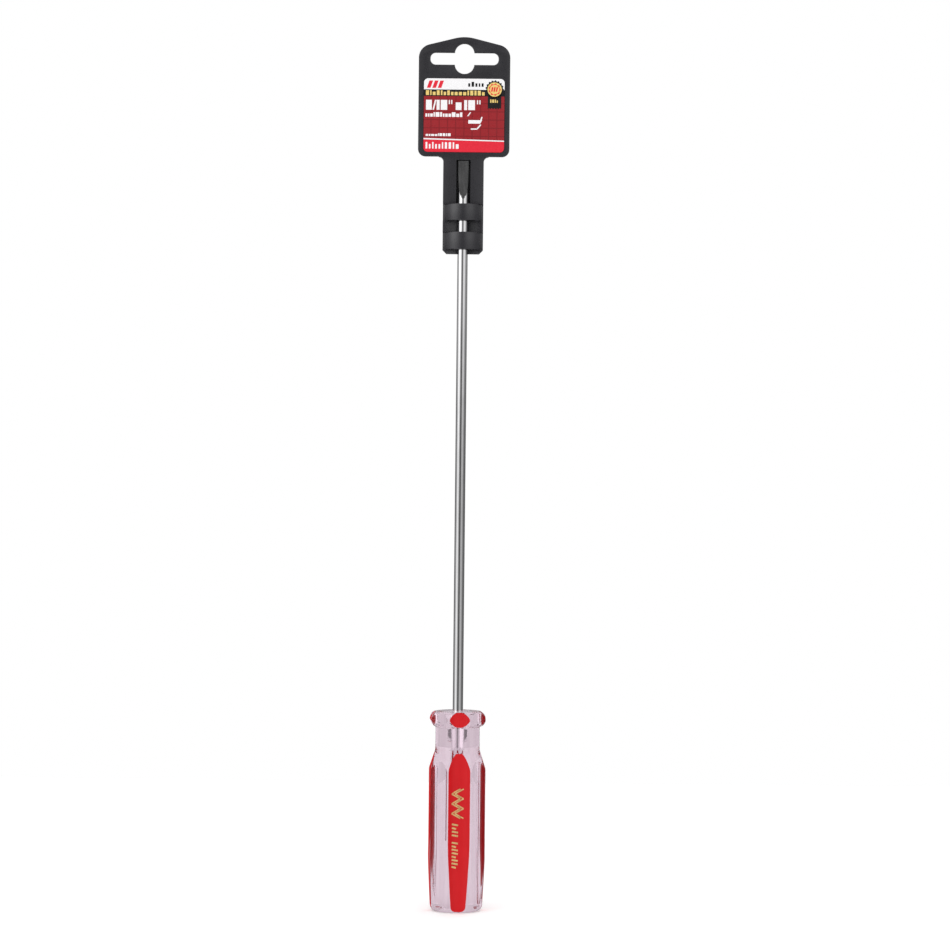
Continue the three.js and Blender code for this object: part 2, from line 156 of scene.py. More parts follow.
def line_between(start, end, step=0.4):
    """Points along a straight line, both ends included."""
    count = max(1, round(hypot(end[0] - start[0], end[1] - start[1]) / step))
    return [between(start, end, i / count) for i in range(count + 1)]


def polar(centre, radius, angle):
    return (centre[0] + radius * cos(angle), centre[1] + radius * sin(angle))


def arc(centre, radius, start, end, steps):
    """Points of an arc, angles in radians."""
    return [polar(centre, radius, start + (end - start) * i / steps) for i in range(steps + 1)]


def spread(start, end, count):
    """Evenly spaced angles from start, without end."""
    return [start + (end - start) * i / count for i in range(count)]


# ---------------------------------------------------------------- meshes
def mesh_object(name, points, faces):
    """A mesh object from points in millimetres."""
    mesh = bpy.data.meshes.new(name)
    mesh.from_pydata([Vector(p) * MM for p in points], [], faces)
    mesh.validate()
    made = bpy.data.objects.new(name, mesh)
    bpy.context.scene.collection.objects.link(made)
    return made


def finish_mesh(thing, sharp_angle=32):
    """Welds, turns the faces outwards and shades smooth except across sharp edges."""
    work = bmesh.new()
    work.from_mesh(thing.data)
    bmesh.ops.remove_doubles(work, verts=work.verts, dist=1e-7)
    bmesh.ops.recalc_face_normals(work, faces=work.faces)
    work.to_mesh(thing.data)
    work.free()
    thing.data.polygons.foreach_set("use_smooth", [True] * len(thing.data.polygons))
    thing.data.set_sharp_from_angle(angle=radians(sharp_angle))
    thing.data.update()


def dress(thing, body, material, replaces=()):
    """Gives a piece its material, body, material slot and the CAD nodes it stands for."""
    thing.data.materials.clear()
    thing.data.materials.append(material)
    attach(thing, body)
    if replaces:
        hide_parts(*replaces)


def grid_faces(rows, columns):
    """Quads between closed rows of equally many points."""
    faces = []
    for row in range(rows - 1):
        low, high = row * columns, (row + 1) * columns
        for here in range(columns):
            beside = (here + 1) % columns
            faces.append((low + here, low + beside, high + beside, high + here))
    return faces


def lofted(name, rings, sharp_angle=32):
    """A closed solid through rings of equally many points, in millimetres."""
    columns = len(rings[0])
    points = [p for ring in rings for p in ring]
    faces = grid_faces(len(rings), columns)
    faces.append(tuple(reversed(range(columns))))
    faces.append(tuple(range(len(points) - columns, len(points))))
    made = mesh_object(name, points, faces)
    finish_mesh(made, sharp_angle)
    return made


def evaluated_mesh(thing):
    """The object's mesh after its modifiers (or a curve turned into a mesh)."""
    seen = thing.evaluated_get(bpy.context.evaluated_depsgraph_get())
    return bpy.data.meshes.new_from_object(seen)


def applied(thing):
    """The object with its modifiers applied."""
    mesh = evaluated_mesh(thing)
    old = thing.data
    thing.modifiers.clear()
    thing.data = mesh
    mesh.name = thing.name
    bpy.data.meshes.remove(old)
    return thing


def combine(base, tools, operation):
    """Joins or cuts base with each tool, and deletes the tools."""
    for tool in tools:
        modifier = base.modifiers.new(operation, "BOOLEAN")
        modifier.operation = operation
        modifier.solver = "MANIFOLD"
        modifier.object = tool
        applied(base)
        bpy.data.objects.remove(tool)
    return base


def rounded_slab(name, outlines, low, high, edge, axis="Y"):
    """A plate of closed outlines, the holes after the outer one, from low to high along an axis, in mm.
    Its edges are rounded by edge. Outlines are in (x, z) for axis Y and in (x, y) for axis Z."""
    curve = bpy.data.curves.new(name, "CURVE")
    curve.dimensions = "2D"
    curve.fill_mode = "BOTH"
    curve.extrude = (high - low) / 2 - edge
    curve.bevel_depth = edge
    curve.bevel_resolution = 2
    curve.offset = -edge
    for outline in outlines:
        spline = curve.splines.new("POLY")
        spline.points.add(len(outline) - 1)
        for point, (u, v) in zip(spline.points, outline):
            point.co = (u, v, 0, 1)
        spline.use_cyclic_u = True
    flat = bpy.data.objects.new(name, curve)
    bpy.context.scene.collection.objects.link(flat)
    bpy.context.view_layer.update()
    mesh = evaluated_mesh(flat)
    bpy.data.objects.remove(flat)
    bpy.data.curves.remove(curve)
    middle = (low + high) / 2
    if axis == "Y":
        mesh.transform(Matrix.Translation((0, middle, 0)) @ Matrix.Rotation(pi / 2, 4, "X"))
    else:
        mesh.transform(Matrix.Translation((0, 0, middle)))
    mesh.transform(Matrix.Scale(MM, 4))
    made = bpy.data.objects.new(name, mesh)
    bpy.context.scene.collection.objects.link(made)
    finish_mesh(made)
    return made


def block(name, x, y, z, edge=0.2):
    """A box with rounded edges, from its x, y and z ranges."""
    outline = [(x[0], z[0]), (x[1], z[0]), (x[1], z[1]), (x[0], z[1])]
    return rounded_slab(name, [outline], y[0], y[1], edge)


def rod(name, radius, low, high, y=0, steps=64):
    """A plain round cutter along Z, y behind the tool's axis."""
    ring = [polar((0, y), radius, angle) for angle in spread(0, 2 * pi, steps)]
    return lofted(name, [[(u, v, z) for u, v in ring] for z in (low, high)])


# ---------------------------------------------------------------- the handle's shape
def handle_profile():
    """(radius, height) points of the turned handle from the butt's edge to the collar's top edge."""
    slope = atan2(BODY_RADIUS - NECK_RADIUS, SHOULDER_TOP - SHOULDER_BOTTOM)
    cove_reach = SHOULDER_COVE * tan(slope / 2)
    round_reach = SHOULDER_ROUND * tan(slope / 2)
    shoulder = SHOULDER_BOTTOM - round_reach
    collar_bottom = HANDLE_TOP - COLLAR_HEIGHT
    collar_side = COLLAR_RADIUS - COLLAR_ROUND
    fillet = (NECK_RADIUS + COLLAR_FILLET, collar_bottom - COLLAR_FILLET)
    points = arc((BUTT_RADIUS - BUTT_ROUND, BUTT_ROUND), BUTT_ROUND, -pi / 2, 0, 12)
    rows = 30
    for i in range(1, rows + 1):
        t = i / rows
        a, b, c = (1 - t) ** 2, 2 * t * (1 - t), t * t
        radius = a * BUTT_RADIUS + (b + c) * BODY_RADIUS
        points.append((radius, a * BUTT_ROUND + b * TAPER_PULL + c * TAPER_TOP))
    points += [(BODY_RADIUS, TAPER_TOP + (shoulder - TAPER_TOP) * i / rows) for i in range(1, rows)]
    points += arc((BODY_RADIUS - SHOULDER_ROUND, shoulder), SHOULDER_ROUND, 0, slope, 10)
    cove_end = (NECK_RADIUS + SHOULDER_COVE, SHOULDER_TOP + cove_reach)
    cone_top = arc(cove_end, SHOULDER_COVE, pi + slope, pi, 12)
    cone_start = points[-1]
    rows = 14
    points += [between(cone_start, cone_top[0], i / rows) for i in range(1, rows)]
    points += cone_top
    neck_low, neck_high = points[-1][1], fillet[1]
    points += [(NECK_RADIUS, neck_low + (neck_high - neck_low) * i / 6) for i in range(1, 6)]
    points += arc(fillet, COLLAR_FILLET, pi, pi / 2, 6)
    points += arc((collar_side, collar_bottom + COLLAR_ROUND), COLLAR_ROUND, -pi / 2, 0, 14)
    points += arc((collar_side, HANDLE_TOP - COLLAR_ROUND), COLLAR_ROUND, 0, pi / 2, 14)
    return points


def flute_distance(z):
    """How far the flute cutter's middle is from the tool's axis at a height."""
    low, high = FLUTE_BEND
    t = min(1, max(0, (z - low) / (high - low)))
    return FLUTE_FLOOR + FLUTE_RADIUS + FLUTE_LIFT * (1 - t * t * (3 - 2 * t))


def flute_half_angle(radius, z, cutter):
    """Half the angle that a flute takes out of a circle of that radius; 0 where it doesn't reach."""
    distance = flute_distance(z)
    if radius <= distance - cutter:
        return 0
    return acos(min(1, (radius**2 - cutter**2 + distance**2) / (2 * distance * radius)))


def flute_reach(angle, z, cutter):
    """Distance from the axis to the flute's surface at an angle from the flute's middle."""
    distance = flute_distance(z)
    inside = max(0, cutter**2 - (distance * sin(angle)) ** 2)
    return distance * cos(angle) - sqrt(inside)


def paint_back(angle, radius, z, cutter):
    """Distance from the axis to the back of the paint in a flute, which is deepest in its middle."""
    half = flute_half_angle(radius, z, cutter)
    reach = flute_reach(angle, z, cutter)
    if abs(angle) >= half:
        return reach
    depth = radius - flute_distance(z) + cutter
    return reach - PAINT_SWELL * depth * (1 - (angle / half) ** 2)


FLUTE_COLUMNS = 18
RIDGE_COLUMNS = 3
GROOVE_COLUMNS = 16
EDGE_ROOM = radians(0.3)
RIDGE_ROOM = radians(0.5)
FLUTE_SPREAD = radians(14)
GROOVE_SPREAD = radians(8)


def uncut(floor, radius):
    """From 0 where a cut reaches a section to 1 where the section is 0.4 mm or more too thin for it."""
    return min(1, max(0, floor - radius) / 0.4)


def groove_half_angle(radius):
    """Half the angle that a land's shallow groove takes out of a circle of that radius."""
    distance = GROOVE_FLOOR + GROOVE_RADIUS
    if radius <= GROOVE_FLOOR:
        return 0
    return acos((radius**2 - GROOVE_RADIUS**2 + distance**2) / (2 * distance * radius))


def groove_reach(angle):
    """Distance from the axis to a groove's surface at an angle from its middle."""
    distance = GROOVE_FLOOR + GROOVE_RADIUS
    return distance * cos(angle) - sqrt(max(0, GROOVE_RADIUS**2 - (distance * sin(angle)) ** 2))


def handle_ring(radius, z, cutter):
    """One section of the clear body: four flutes, and between them lands with a shallow groove. Its
    columns keep to the edges of both, and spread out where the section is too thin to be cut."""
    flute = flute_half_angle(radius, z, cutter)
    groove = groove_half_angle(radius)
    flute_side = flute + EDGE_ROOM + FLUTE_SPREAD * uncut(flute_distance(z) - cutter, radius)
    groove_side = groove + EDGE_ROOM + GROOVE_SPREAD * uncut(GROOVE_FLOOR, radius)
    groove_side = min(groove_side, pi / 4 - flute_side - RIDGE_ROOM)
    ring = []
    for side, centre in FLUTES.items():
        middle = radians(centre) + HANDLE_TURN
        angles = (
            spread(-flute_side, flute_side, FLUTE_COLUMNS)
            + spread(flute_side, pi / 4 - groove_side, RIDGE_COLUMNS)
            + spread(pi / 4 - groove_side, pi / 4 + groove_side, GROOVE_COLUMNS)
            + spread(pi / 4 + groove_side, pi / 2 - flute_side, RIDGE_COLUMNS)
        )
        for angle in angles:
            reach = radius
            if abs(angle) < flute and side in PAINTED:
                reach = min(radius, paint_back(angle, radius, z, cutter))
            elif abs(angle) < flute:
                reach = min(radius, flute_reach(angle, z, cutter))
            if abs(angle - pi / 4) < groove:
                reach = min(radius, groove_reach(angle - pi / 4))
            ring.append((reach * cos(middle + angle), reach * sin(middle + angle), z))
    return ring


def dense_rows(profile, step):
    """The profile with more points wherever two of them are further apart than step."""
    rows = [profile[0]]
    for point in profile[1:]:
        rows += line_between(rows[-1], point, step)[1:]
    return rows


def make_handle():
    cutter = FLUTE_RADIUS + PAINT_DEPTH
    rings = [handle_ring(r, z, cutter) for r, z in dense_rows(handle_profile(), 0.5)]
    return lofted("clear_handle", rings, 28)


# ---------------------------------------------------------------- paint in the flutes
SPOT_HALF_WIDTH = 4.8  # of the oval patches on the collar
SPOT_POWER = 1.7  # how an oval patch narrows: 2 is an ellipse


def paint_ring(radius, z, outer, inner, widest=pi, columns=16):
    """A crescent section of the paint in a flute whose middle points along +X."""
    outer_half = min(flute_half_angle(radius, z, outer), widest)
    inner_half = min(flute_half_angle(radius, z, inner), widest)
    ring = []
    for i in range(columns + 1):
        angle = outer_half * (2 * i / columns - 1)
        reach = min(radius, flute_reach(angle, z, outer))
        ring.append((reach * cos(angle), reach * sin(angle), z))
    for i in range(columns + 1):
        angle = inner_half * (1 - 2 * i / columns)
        reach = min(radius, paint_back(angle, radius, z, inner))
        ring.append((reach * cos(angle), reach * sin(angle), z))
    return ring


def make_paint(name, direction, low, high, oval=False):
    """The paint in one flute between two heights, thin at its ends where the flute runs out. An oval
    patch also narrows from its middle height to both ends."""
    outer = FLUTE_RADIUS
    inner = FLUTE_RADIUS + PAINT_DEPTH + PAINT_BITE
    least = 1e-4
    rings = []
    widest = pi
    for r, z in dense_rows(handle_profile(), 0.35):
        if not low < z < high or r <= flute_distance(z) - outer + least:
            continue
        if oval:
            up = (2 * z - low - high) / (high - low)
            widest = SPOT_HALF_WIDTH * sqrt(max(0.001, 1 - abs(up) ** SPOT_POWER)) / r
        rings.append(paint_ring(r, z, outer, inner, widest))
    turn = Matrix.Rotation(radians(direction) + HANDLE_TURN, 4, "Z")
    return lofted(name, [[turn @ Vector(p) for p in ring] for ring in rings], 40)


# ---------------------------------------------------------------- the blade
def shank_section(z, half_thickness, columns=40):
    """A round section of the blade, cut to two flats where it is ground thinner than round."""
    corner = asin(min(1, half_thickness / SHANK_RADIUS))
    flat = SHANK_RADIUS * cos(corner)
    ring = []
    for side in (1, -1):
        for angle in spread(-corner, corner, columns) + [corner]:
            ring.append((side * SHANK_RADIUS * cos(angle), side * SHANK_RADIUS * sin(angle), z))
        for step in (0.25, 0.5, 0.75):
            ring.append((side * flat * (1 - 2 * step), side * min(half_thickness, SHANK_RADIUS), z))
    return ring


def tip_half_thickness(z):
    """Half the tip's thickness: parallel at the end, then hollow ground by a round wheel."""
    up = max(0, TIP_Z - TIP_PARALLEL - z)
    if up > GRIND_RADIUS * 0.6:
        return SHANK_RADIUS
    return min(SHANK_RADIUS, TIP_THICKNESS / 2 + GRIND_RADIUS - sqrt(GRIND_RADIUS**2 - up**2))


def make_wings(depth, turn):
    """One pair of wings swaged out of the tang, standing turned about the blade."""
    middle = HANDLE_TOP - depth
    half = WING_LENGTH / 2
    outline = [
        (WING_REACH, middle - half + WING_RAMP),
        (WING_REACH, middle + half - WING_RAMP),
        (0, middle + half + WING_RAMP),
        (-WING_REACH, middle + half - WING_RAMP),
        (-WING_REACH, middle - half + WING_RAMP),
        (0, middle - half - WING_RAMP),
    ]
    made = rounded_slab("wings", [outline], -WING_THICKNESS / 2, WING_THICKNESS / 2, 0.2)
    made.data.transform(Matrix.Rotation(turn, 4, "Z"))
    return made


def make_blade():
    chamfer = 0.6
    ground = TIP_Z - TIP_PARALLEL - sqrt(GRIND_RADIUS**2 - (GRIND_RADIUS - SHANK_RADIUS) ** 2)
    heights = [TANG_END + chamfer] + [HANDLE_TOP + (ground - HANDLE_TOP) * i / 12 for i in range(13)]
    heights += [ground + (TIP_Z - TIP_PARALLEL - ground) * i / 40 for i in range(1, 41)]
    heights += [TIP_Z - 0.06, TIP_Z]
    rings = [shank_section(z, tip_half_thickness(z)) for z in heights]
    narrow = 1 - chamfer / SHANK_RADIUS
    rings.insert(0, [(x * narrow, y * narrow, TANG_END) for x, y, z in rings[0]])
    rings[-1] = [(x * 0.975, y * 0.9, z) for x, y, z in rings[-1]]
    blade = lofted("chrome_blade", rings)
    wings = [make_wings(depth, pi / 2 * i) for i, depth in enumerate(WING_DEPTHS)]
    combine(blade, wings, "UNION")
    finish_mesh(blade)
    return blade


# ---------------------------------------------------------------- the hanger's outlines
QUARTER = pi / 2


def plate_outline(inset=0):
    """The plate with its crowned top, in (x, z)."""
    half = PLATE_HALF_WIDTH - inset
    top = TIP_Z + PLATE_TOP - inset
    foot = TIP_Z + PLATE_BOTTOM + inset
    corner = max(PLATE_CORNER - inset, 0.5)
    foot_corner = max(PLATE_FOOT_CORNER - inset, 0.5)
    side = half - corner
    crown_x = PLATE_CROWN * sin(PLATE_SLOPE)
    crown_z = top - PLATE_CROWN + PLATE_CROWN * cos(PLATE_SLOPE)
    corner_x = side + corner * sin(PLATE_SLOPE)
    corner_z = crown_z - (corner_x - crown_x) * tan(PLATE_SLOPE) - corner * cos(PLATE_SLOPE)
    return (
        arc((half - foot_corner, foot + foot_corner), foot_corner, -QUARTER, 0, 8)
        + arc((side, corner_z), corner, 0, QUARTER - PLATE_SLOPE, 12)
        + arc((0, top - PLATE_CROWN), PLATE_CROWN, QUARTER - PLATE_SLOPE, QUARTER + PLATE_SLOPE, 16)
        + arc((-side, corner_z), corner, QUARTER + PLATE_SLOPE, pi, 12)
        + arc((foot_corner - half, foot + foot_corner), foot_corner, pi, 3 * QUARTER, 8)
    )


def peg_outline():
    """The hanging hole: a wide slot joined with a short upright one."""
    z = TIP_Z + PEG_Z
    half_width, half_height, corner = PEG_SLOT
    reach, rise = half_width - corner, half_height - corner
    lobe_radius, lobe_height = PEG_ROUND
    lobe = lobe_height - lobe_radius
    meet = asin((half_height - lobe) / lobe_radius)
    return (
        arc((reach, z + rise), corner, 0, QUARTER, 8)
        + arc((0, z + lobe), lobe_radius, meet, pi - meet, 20)
        + arc((-reach, z + rise), corner, QUARTER, pi, 8)
        + arc((-reach, z - rise), corner, pi, 3 * QUARTER, 8)
        + arc((0, z - lobe), lobe_radius, pi + meet, 2 * pi - meet, 20)
        + arc((reach, z - rise), corner, -QUARTER, 0, 8)
    )


def tail_outline(bottom, chamfer):
    """The tail from the front, spreading into the plate above and chamfered below."""
    half = TAIL_HALF_WIDTH
    top = TIP_Z + PLATE_BOTTOM
    low = TIP_Z + bottom
    right = arc((half + TAIL_FILLET, top - TAIL_FILLET), TAIL_FILLET, pi, QUARTER, 8)
    left = arc((-half - TAIL_FILLET, top - TAIL_FILLET), TAIL_FILLET, QUARTER, 0, 8)
    return (
        [(chamfer - half, low), (half - chamfer, low), (half, low + chamfer)]
        + right
        + [(half + TAIL_FILLET, top + 1), (-half - TAIL_FILLET, top + 1)]
        + left
        + [(-half, low + chamfer)]
    )


def rectangle(left, right, low, high, corners=(0, 0, 0, 0)):
    """A rectangle with a corner radius each for bottom right, top right, top left and bottom left."""
    centres = [
        (right - corners[0], low + corners[0]),
        (right - corners[1], high - corners[1]),
        (left + corners[2], high - corners[2]),
        (left + corners[3], low + corners[3]),
    ]
    points = []
    for i, (centre, radius) in enumerate(zip(centres, corners)):
        if radius > 0:
            points += arc(centre, radius, QUARTER * (i - 1), QUARTER * i, 8)
        else:
            points.append(centre)
    return points


# ---------------------------------------------------------------- the hanger
def make_plate():
    plate = rounded_slab("black_hanger", [plate_outline(), peg_outline()], PLATE_FRONT, PLATE_BACK, 0.35)
    rim = rounded_slab(
        "rim", [plate_outline(), plate_outline(RIM_WIDTH)], PLATE_BACK - 0.7, RIM_BACK, 0.3
    )
    combine(plate, [rim], "UNION")
    margin = LABEL_MARGIN
    recess = rectangle(
        LABEL_LOW.x - margin,
        LABEL_HIGH.x + margin,
        LABEL_LOW.z - margin,
        LABEL_HIGH.z + margin,
        [LABEL_CORNER + margin] * 4,
    )
    cutter = rounded_slab("recess", [recess], PLATE_FRONT - 2, PLATE_FRONT + LABEL_RECESS, 0.05)
    return combine(plate, [cutter], "DIFFERENCE")


def make_rails():
    """The trough behind the tip: thick rails each side of a channel, cored out from behind."""
    rails = rounded_slab("rails", [tail_outline(RAIL_BOTTOM, 0.8)], PLATE_FRONT, TAIL_BACK, 0.3)
    half = CHANNEL_HALF_WIDTH
    cuts = [
        block(
            "channel",
            (-half, half),
            (PLATE_FRONT - 2, TAIL_FLOOR),
            (TIP_Z + RAIL_BOTTOM - 2, TIP_Z + POCKET_TOP),
            0.4,
        )
    ]
    inner, outer = half + RAIL_WALL, TAIL_HALF_WIDTH - RAIL_WALL
    for low, high in ((inner, outer), (-outer, -inner)):
        cuts.append(
            block(
                "core",
                (low, high),
                (PLATE_FRONT + RAIL_WALL, TAIL_BACK + 2),
                (TIP_Z + RAIL_BOTTOM + RAIL_WALL, TIP_Z - RAIL_WALL),
                0.3,
            )
        )
    return combine(rails, cuts, "DIFFERENCE")


def make_tail():
    """The lower tail: a thick wall with a hollow front, which stands behind the shank."""
    low, high = TIP_Z + TAIL_BOTTOM, TIP_Z + RAIL_BOTTOM
    wide = 3 * TAIL_HALF_WIDTH
    tail = rounded_slab("tail", [tail_outline(TAIL_BOTTOM, TAIL_CHAMFER)], PLATE_FRONT, TAIL_BACK, 0.3)
    hollow = rod("hollow", TAIL_HOLLOW_RADIUS, low - 1, high, TAIL_FLOOR - TAIL_HOLLOW_RADIUS, 96)
    above = block("above", (-wide, wide), (-wide, wide), (high + 0.5, TIP_Z + PLATE_TOP), 0.01)
    return combine(tail, [above, hollow], "DIFFERENCE")


def make_strap(low, high):
    """A half-round loop over the front of the shank."""
    outline = arc((0, STRAP_CENTRE_Y), STRAP_RADIUS, pi, 2 * pi, STRAP_STEPS)
    return rounded_slab("strap", [outline], TIP_Z + low, TIP_Z + high, 0.4, axis="Z")


def strap_shoulders(low, high):
    """What is cut from the tail's corners beside a strap, where the loop runs on to the sides."""
    wide = TAIL_HALF_WIDTH + 1
    low, high = TIP_Z + low, TIP_Z + high
    sides = block("shoulders", (-wide, wide), (-2 * wide, STRAP_CENTRE_Y), (low, high), 0.01)
    loop = rod("loop", STRAP_RADIUS - STRAP_SEAT, low - 1, high + 1, STRAP_CENTRE_Y, 2 * STRAP_STEPS)
    return combine(sides, [loop], "DIFFERENCE")


def strap_bores():
    """The straps' bore, and the openings behind it that the mould's core leaves."""
    high = TIP_Z + RAIL_BOTTOM + 0.6
    bores = [rod("bore", STRAP_BORE, TIP_Z + TAIL_BOTTOM - 1, high)]
    for low, high in STRAPS:
        bores.append(
            block(
                "opening",
                (-STRAP_BORE, STRAP_BORE),
                (0, TAIL_BACK + 2),
                (TIP_Z + low + 0.6, TIP_Z + high - 0.6),
                0.2,
            )
        )
    return bores


def make_hanger():
    hanger = make_plate()
    combine(hanger, [make_rails(), make_tail()], "UNION")
    combine(hanger, [strap_shoulders(*strap) for strap in STRAPS], "DIFFERENCE")
    combine(hanger, [make_strap(*strap) for strap in STRAPS], "UNION")
    combine(hanger, strap_bores(), "DIFFERENCE")
    finish_mesh(hanger, 30)
    return hanger


# ---------------------------------------------------------------- the label and the marks
def ribbon(line, width, place):
    """Points and faces of a flat stroke along a line in (u, z); place puts (u, z, lift) into space."""
    points = []
    for i, (u, z) in enumerate(line):
        before, after = line[max(0, i - 1)], line[min(len(line) - 1, i + 1)]
        length = hypot(after[0] - before[0], after[1] - before[1])
        side_u = -(after[1] - before[1]) / length * width / 2
        side_z = (after[0] - before[0]) / length * width / 2
        points += [
            place(u + side_u, z + side_z, 1),
            place(u - side_u, z - side_z, 1),
            place(u - side_u, z - side_z, -1),
            place(u + side_u, z + side_z, -1),
        ]
    faces = grid_faces(len(line), 4) + [(3, 2, 1, 0), tuple(range(len(points) - 4, len(points)))]
    return points, faces


def joined(name, shapes):
    """One mesh of several closed shapes."""
    points, faces = [], []
    for shape_points, shape_faces in shapes:
        first = len(points)
        points += shape_points
        faces += [tuple(first + i for i in face) for face in shape_faces]
    made = mesh_object(name, points, faces)
    finish_mesh(made, 40)
    return made


def merged(name, things):
    """One object of several separate closed ones."""
    work = bmesh.new()
    for thing in things:
        work.from_mesh(thing.data)
        bpy.data.objects.remove(thing)
    mesh = bpy.data.meshes.new(name)
    work.to_mesh(mesh)
    work.free()
    made = bpy.data.objects.new(name, mesh)
    bpy.context.scene.collection.objects.link(made)
    finish_mesh(made, 40)
    return made


def ring_outline(centre, radius, teeth=0, depth=0, steps=96):
    """A circle in (x, z), with scallops if it has teeth."""
    points = []
    for i in range(steps):
        angle = 2 * pi * i / steps
        reach = radius - depth * sin(teeth * angle / 2) ** 2
        points.append((centre[0] + reach * cos(angle), centre[1] + reach * sin(angle)))
    return points


INK_STEP = 0.009  # how far each layer of ink stands on the one below


def ink(outline, level):
    """A patch of ink on the label."""
    return rounded_slab("ink", [outline], LABEL_LOW.y - INK_STEP * level, LABEL_LOW.y + 0.03, 0)


def ink_bar(left, width, low, high, slant=0):
    """An upright or leaning bar of ink, as an outline."""
    return [(left, low), (left + width, low), (left + width + slant, high), (left + slant, high)]


def bar_row(seed, left, right, low, high, widths, gap):
    """A row of plain bars of uneven width and height, where a label would have its small print."""
    rng = Random(seed)
    bars = []
    x = left
    while x < right - widths[0]:
        width = min(rng.uniform(*widths), right - x)
        drop = rng.choice((0, 0, 0.3)) * (high - low)
        bars.append(ink_bar(x, width, low, high - drop))
        x += width + gap
    return bars


LEFT, RIGHT = LABEL_LOW.x, LABEL_HIGH.x
HEAD_LOW = LABEL_HIGH.z - 5.1  # the label's white head ends here
BAND_LOW = HEAD_LOW - 3  # and the black band below it here
FOOT_LEFT = LABEL_LOW.z + 5.7  # top of the red foot at its left
FOOT_RIGHT = FOOT_LEFT - 0.8
BADGE = (RIGHT - 4.6, HEAD_LOW + 0.2)
BADGE_RADIUS = 4.35
TAG_HALF_WIDTH = 3.1
TAG_LENGTH = 9.2
TAG_TEETH = 5


def label_tag(x, top):
    """The badge's ribbon, with a toothed lower edge."""
    low = top - TAG_LENGTH
    tag = [(x + TAG_HALF_WIDTH, top), (x - TAG_HALF_WIDTH, top)]
    for i in range(2 * TAG_TEETH + 1):
        tag.append((x + TAG_HALF_WIDTH * (i / TAG_TEETH - 1), low + 0.7 * (i % 2)))
    return tag


def size_bars(left, low, high):
    """Plain bars of uneven width where a label would give the size."""
    tall = ((1.0, 2.7), (5.9, 1.4), (7.8, 3.0), (18.6, 1.4), (20.5, 3.1))
    bars = [ink_bar(left + right, width, low, high) for right, width in tall]
    bars.append(ink_bar(left + 4.0, 0.7, low, high, 1.1))
    bars.append(ink_bar(left + 14.7, 2.7, low, high - 1.1))
    bars += [ink_bar(left + right, 0.55, high - 1.9, high) for right in (11.5, 12.6, 24.5, 25.6)]
    return bars


def tip_picture(x, z):
    """A slotted tip seen at an angle, with its bevelled end and the edge behind it."""
    blade = [(-6.4, 0), (-0.9, 0), (0, 1.6), (-6.4, 1.6)]
    bevel = [(-5.2, -2.8), (-2.2, -2.8), (-2.4, -2.2), (-5.2, -2.2)]
    edge = [(-2.0, -2.6), (-0.4, -0.6), (-0.9, -0.3), (-2.6, -2.3)]
    shapes = [[(x + right, z + up) for right, up in outline] for outline in (blade, bevel, edge)]
    return shapes + [
        ink_bar(x - 0.9, 0.6, z + 1.6, z + 3.1, 0.5),
        ink_bar(x - 7.0, 0.6, z + 3.4, z + 5.2, 1.3),
    ]


def at_level(level, outlines):
    """The outlines, each with the layer of ink that it is printed in."""
    return [(outline, level) for outline in outlines]


def white_ink():
    """The head, a line above the foot, the size, the tip's picture and three rows of small print."""
    head = rectangle(LEFT, RIGHT, HEAD_LOW, LABEL_HIGH.z, (0, LABEL_CORNER, LABEL_CORNER, 0))
    line = [(LEFT, FOOT_LEFT + 0.05), (RIGHT, FOOT_RIGHT + 0.05)]
    line += [(RIGHT, FOOT_RIGHT + 0.55), (LEFT, FOOT_LEFT + 0.65)]
    low, big_low, big_high = LABEL_LOW.z, BAND_LOW - 6.4, BAND_LOW - 1.8
    inks = [(head, 1), (line, 2)]
    inks += at_level(1, size_bars(LEFT, big_low, big_high))
    inks += at_level(1, tip_picture(LEFT + 27, BAND_LOW - 12.6))
    rows = (
        (1, 3, (LEFT + 0.8, LEFT + 18.2, big_low - 3.2, big_low - 1.1), (0.5, 1.9), 0.35),
        (1, 5, (LEFT + 1, LEFT + 12.6, FOOT_LEFT + 1.6, FOOT_LEFT + 2.9), (0.4, 1.5), 0.3),
        (2, 8, (LEFT + 1, LEFT + 16.4, low + 1.5, low + 4.5), (0.6, 1.5), 0.75),
    )
    for level, seed, space, widths, gap in rows:
        inks += at_level(level, bar_row(seed, *space, widths, gap))
    return inks


def black_ink():
    """The band below the head, the badge with its ribbon, and a row of small print in the head."""
    band = rectangle(LEFT, RIGHT, BAND_LOW, HEAD_LOW)
    badge = [ring_outline(BADGE, BADGE_RADIUS, 17, 0.6), label_tag(*BADGE)]
    space = (LEFT + 20.4, LEFT + 27.6, HEAD_LOW + 1.4, HEAD_LOW + 3.7)
    return [(band, 2)] + at_level(3, badge) + at_level(2, bar_row(11, *space, (0.6, 1.3), 0.6))


def gold_ink():
    """Two discs in the badge, a row of small print in the band and one on the badge's ribbon."""
    x, top = BADGE
    tag_low = top - TAG_LENGTH
    inks = [(ring_outline(BADGE, 3.3), 4), (ring_outline(BADGE, 2.2), 6)]
    space = (LEFT + 0.9, LEFT + 28, BAND_LOW + 0.4, HEAD_LOW - 0.4)
    inks += at_level(3, bar_row(2, *space, (0.5, 1.5), 0.55))
    space = (x - 2, x + 2.2, tag_low + 3.1, tag_low + 4.6)
    return inks + at_level(4, bar_row(4, *space, (0.5, 0.9), 0.35))


